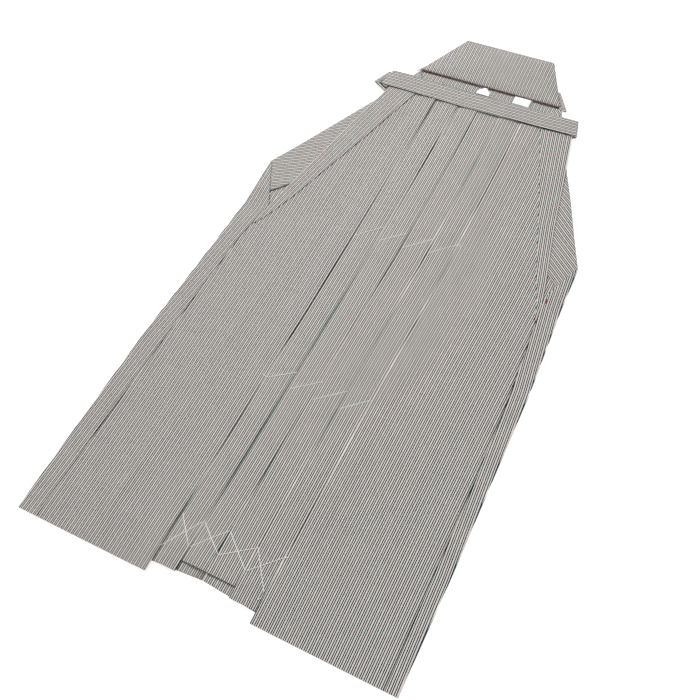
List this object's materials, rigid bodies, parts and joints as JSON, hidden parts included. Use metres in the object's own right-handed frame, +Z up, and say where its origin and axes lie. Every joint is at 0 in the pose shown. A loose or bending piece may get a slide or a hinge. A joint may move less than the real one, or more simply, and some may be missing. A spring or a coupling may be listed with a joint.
{
  "type": "hakama trousers laid flat",
  "caption": "Pleated, striped trousers with a front strap and a stiff back board, laid flat with the front up; worn tied round the waist",
  "frame": {"origin": "the middle of the garment's box, on the surface that it lies on", "axes": "+X is the wearer's left, +Y runs from the hem to the waist, +Z is up, away from the surface"},
  "size_m": [0.564, 0.985, 0.0082],
  "materials": {
    "striped_cloth": "fine warp stripes in grey green, cream and dull red, with a slight silk sheen",
    "red_lining": "plain dark red lining",
    "white_plastic": "smooth white plastic",
    "white_label": "plain white woven label, blank"
  },
  "bodies": {
    "root": {"back_right": "striped_cloth", "back_left": "striped_cloth", "gusset_right": "striped_cloth", "gusset_left": "striped_cloth", "front_right": "striped_cloth", "front_left": "striped_cloth", "leaf_fold_right": "striped_cloth", "leaf_fold_left": "striped_cloth", "front_strap": "striped_cloth", "back_board": "striped_cloth", "back_strap_right": "striped_cloth", "back_strap_left": "striped_cloth", "board_lining": "red_lining", "spatula": "white_plastic", "label": "white_label"}
  },
  "joints": []
}
